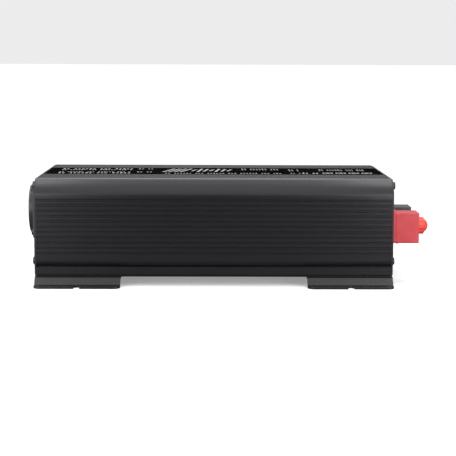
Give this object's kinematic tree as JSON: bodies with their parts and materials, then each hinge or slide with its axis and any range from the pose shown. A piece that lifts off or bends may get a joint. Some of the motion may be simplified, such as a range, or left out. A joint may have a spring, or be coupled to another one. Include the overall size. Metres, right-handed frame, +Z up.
{
  "type": "power inverter",
  "caption": "Low ribbed box that turns battery current into mains current: sockets and switch on one end, capped battery terminals and fan on the other, flanged feet.",
  "frame": {"origin": "middle of the overall box, on the plane the feet stand on", "axes": "+X along the length towards the battery terminals, +Y across, +Z up"},
  "size_m": [0.368, 0.228, 0.0962],
  "materials": {
    "housing_black": "satin black anodised and coated extrusion",
    "plate_black": "fine textured black powder coat",
    "foot_black": "satin black powder coat",
    "screw_black": "black zinc",
    "screw_steel": "zinc plated",
    "label_film": "printed black film",
    "socket_plastic": "moulded black",
    "brass_contact": "bright",
    "spring_strip": "nickel plated",
    "switch_plastic": "fine moulded texture",
    "rocker_plastic": "moulded black",
    "port_plastic": "moulded black",
    "port_metal": "nickel plated",
    "tongue_white": "moulded",
    "lamp_green": "clear tinted",
    "lamp_red": "clear tinted",
    "terminal_red": "moulded red",
    "knob_red": "moulded bright red",
    "terminal_black": "moulded dark grey",
    "stud_brass": "turned",
    "fan_plastic": "moulded black",
    "guard_wire": "nickel plated",
    "board_green": "solder mask",
    "insulator": "pressed sheet",
    "ferrite": "sintered ferrite",
    "winding_tape": "wound tape",
    "copper": "enamelled copper",
    "can_sleeve": "shrink sleeve",
    "aluminium_bar": "milled",
    "transistor_black": "moulded",
    "fuse_orange": "clear tinted",
    "relay_blue": "moulded",
    "block_green": "moulded",
    "lead_sleeve": "silicone sleeve"
  },
  "bodies": {
    "root": {"housing_shell": "housing_black", "base_tray": "housing_black", "end_plate_ac": "plate_black", "end_plate_dc": "plate_black", "end_screws_ac": "screw_black", "end_screws_dc": "screw_black", "foot_bracket_ac": "foot_black", "foot_bracket_dc": "foot_black", "foot_screws": "screw_black", "clinch_nuts": "screw_steel", "top_label": "label_film", "mains_socket_1": "socket_plastic", "mains_socket_2": "socket_plastic", "socket_contacts": "brass_contact", "earth_clips": "spring_strip", "socket_screws": "screw_steel", "switch_bezel": "switch_plastic", "usb_bezel": "port_plastic", "usb_shell": "port_metal", "usb_tongue": "tongue_white", "power_lamp": "lamp_green", "fault_lamp": "lamp_red", "lamp_board": "board_green", "earth_stud": "stud_brass", "earth_hardware": "screw_steel", "terminal_base_red": "terminal_red", "terminal_base_black": "terminal_black", "terminal_studs": "stud_brass", "terminal_nuts": "screw_steel", "fan_frame": "fan_plastic", "fan_guard": "guard_wire", "fan_screws": "screw_black", "insulation_sheet": "insulator", "main_board": "board_green", "board_spacers": "brass_contact", "board_screws": "screw_steel", "transformer_cores": "ferrite", "transformer_windings": "winding_tape", "input_capacitors": "can_sleeve", "bus_capacitors": "can_sleeve", "heat_bars": "aluminium_bar", "power_transistors": "transistor_black", "transistor_clamps": "spring_strip", "choke_core": "ferrite", "choke_winding": "copper", "control_board": "board_green", "blade_fuses": "fuse_orange", "output_relay": "relay_blue", "output_terminals": "block_green", "socket_leads": "lead_sleeve", "busbar_positive": "copper", "busbar_negative": "copper"},
    "rocker": {"power_rocker": "rocker_plastic"},
    "fan": {"fan_rotor": "fan_plastic", "fan_shaft": "spring_strip"},
    "red_cover": {"terminal_cover_red": "terminal_red"},
    "red_knob": {"thumb_knob_red": "knob_red"},
    "black_cover": {"terminal_cover_black": "terminal_black"},
    "black_knob": {"thumb_knob_black": "terminal_black"}
  },
  "joints": [
    {"name": "power_switch", "type": "hinge", "parent": "root", "child": "rocker", "pos_m": [-0.17035, 0.042, 0.068], "axis": [0, 1, 0], "range_deg": [0, 20]},
    {"name": "fan_spin", "type": "hinge", "parent": "root", "child": "fan", "pos_m": [0.13805, 0.052, 0.052], "axis": [1, 0, 0], "continuous": true},
    {"name": "red_cover_pull", "type": "slide", "parent": "root", "child": "red_cover", "axis": [1, 0, 0], "range_m": [0, 0.03]},
    {"name": "red_knob_turn", "type": "hinge", "parent": "red_cover", "child": "red_knob", "pos_m": [0.17405, -0.059, 0.0512], "axis": [1, 0, 0], "continuous": true},
    {"name": "black_cover_pull", "type": "slide", "parent": "root", "child": "black_cover", "axis": [1, 0, 0], "range_m": [0, 0.03]},
    {"name": "black_knob_turn", "type": "hinge", "parent": "black_cover", "child": "black_knob", "pos_m": [0.17405, -0.003, 0.0512], "axis": [1, 0, 0], "continuous": true}
  ]
}
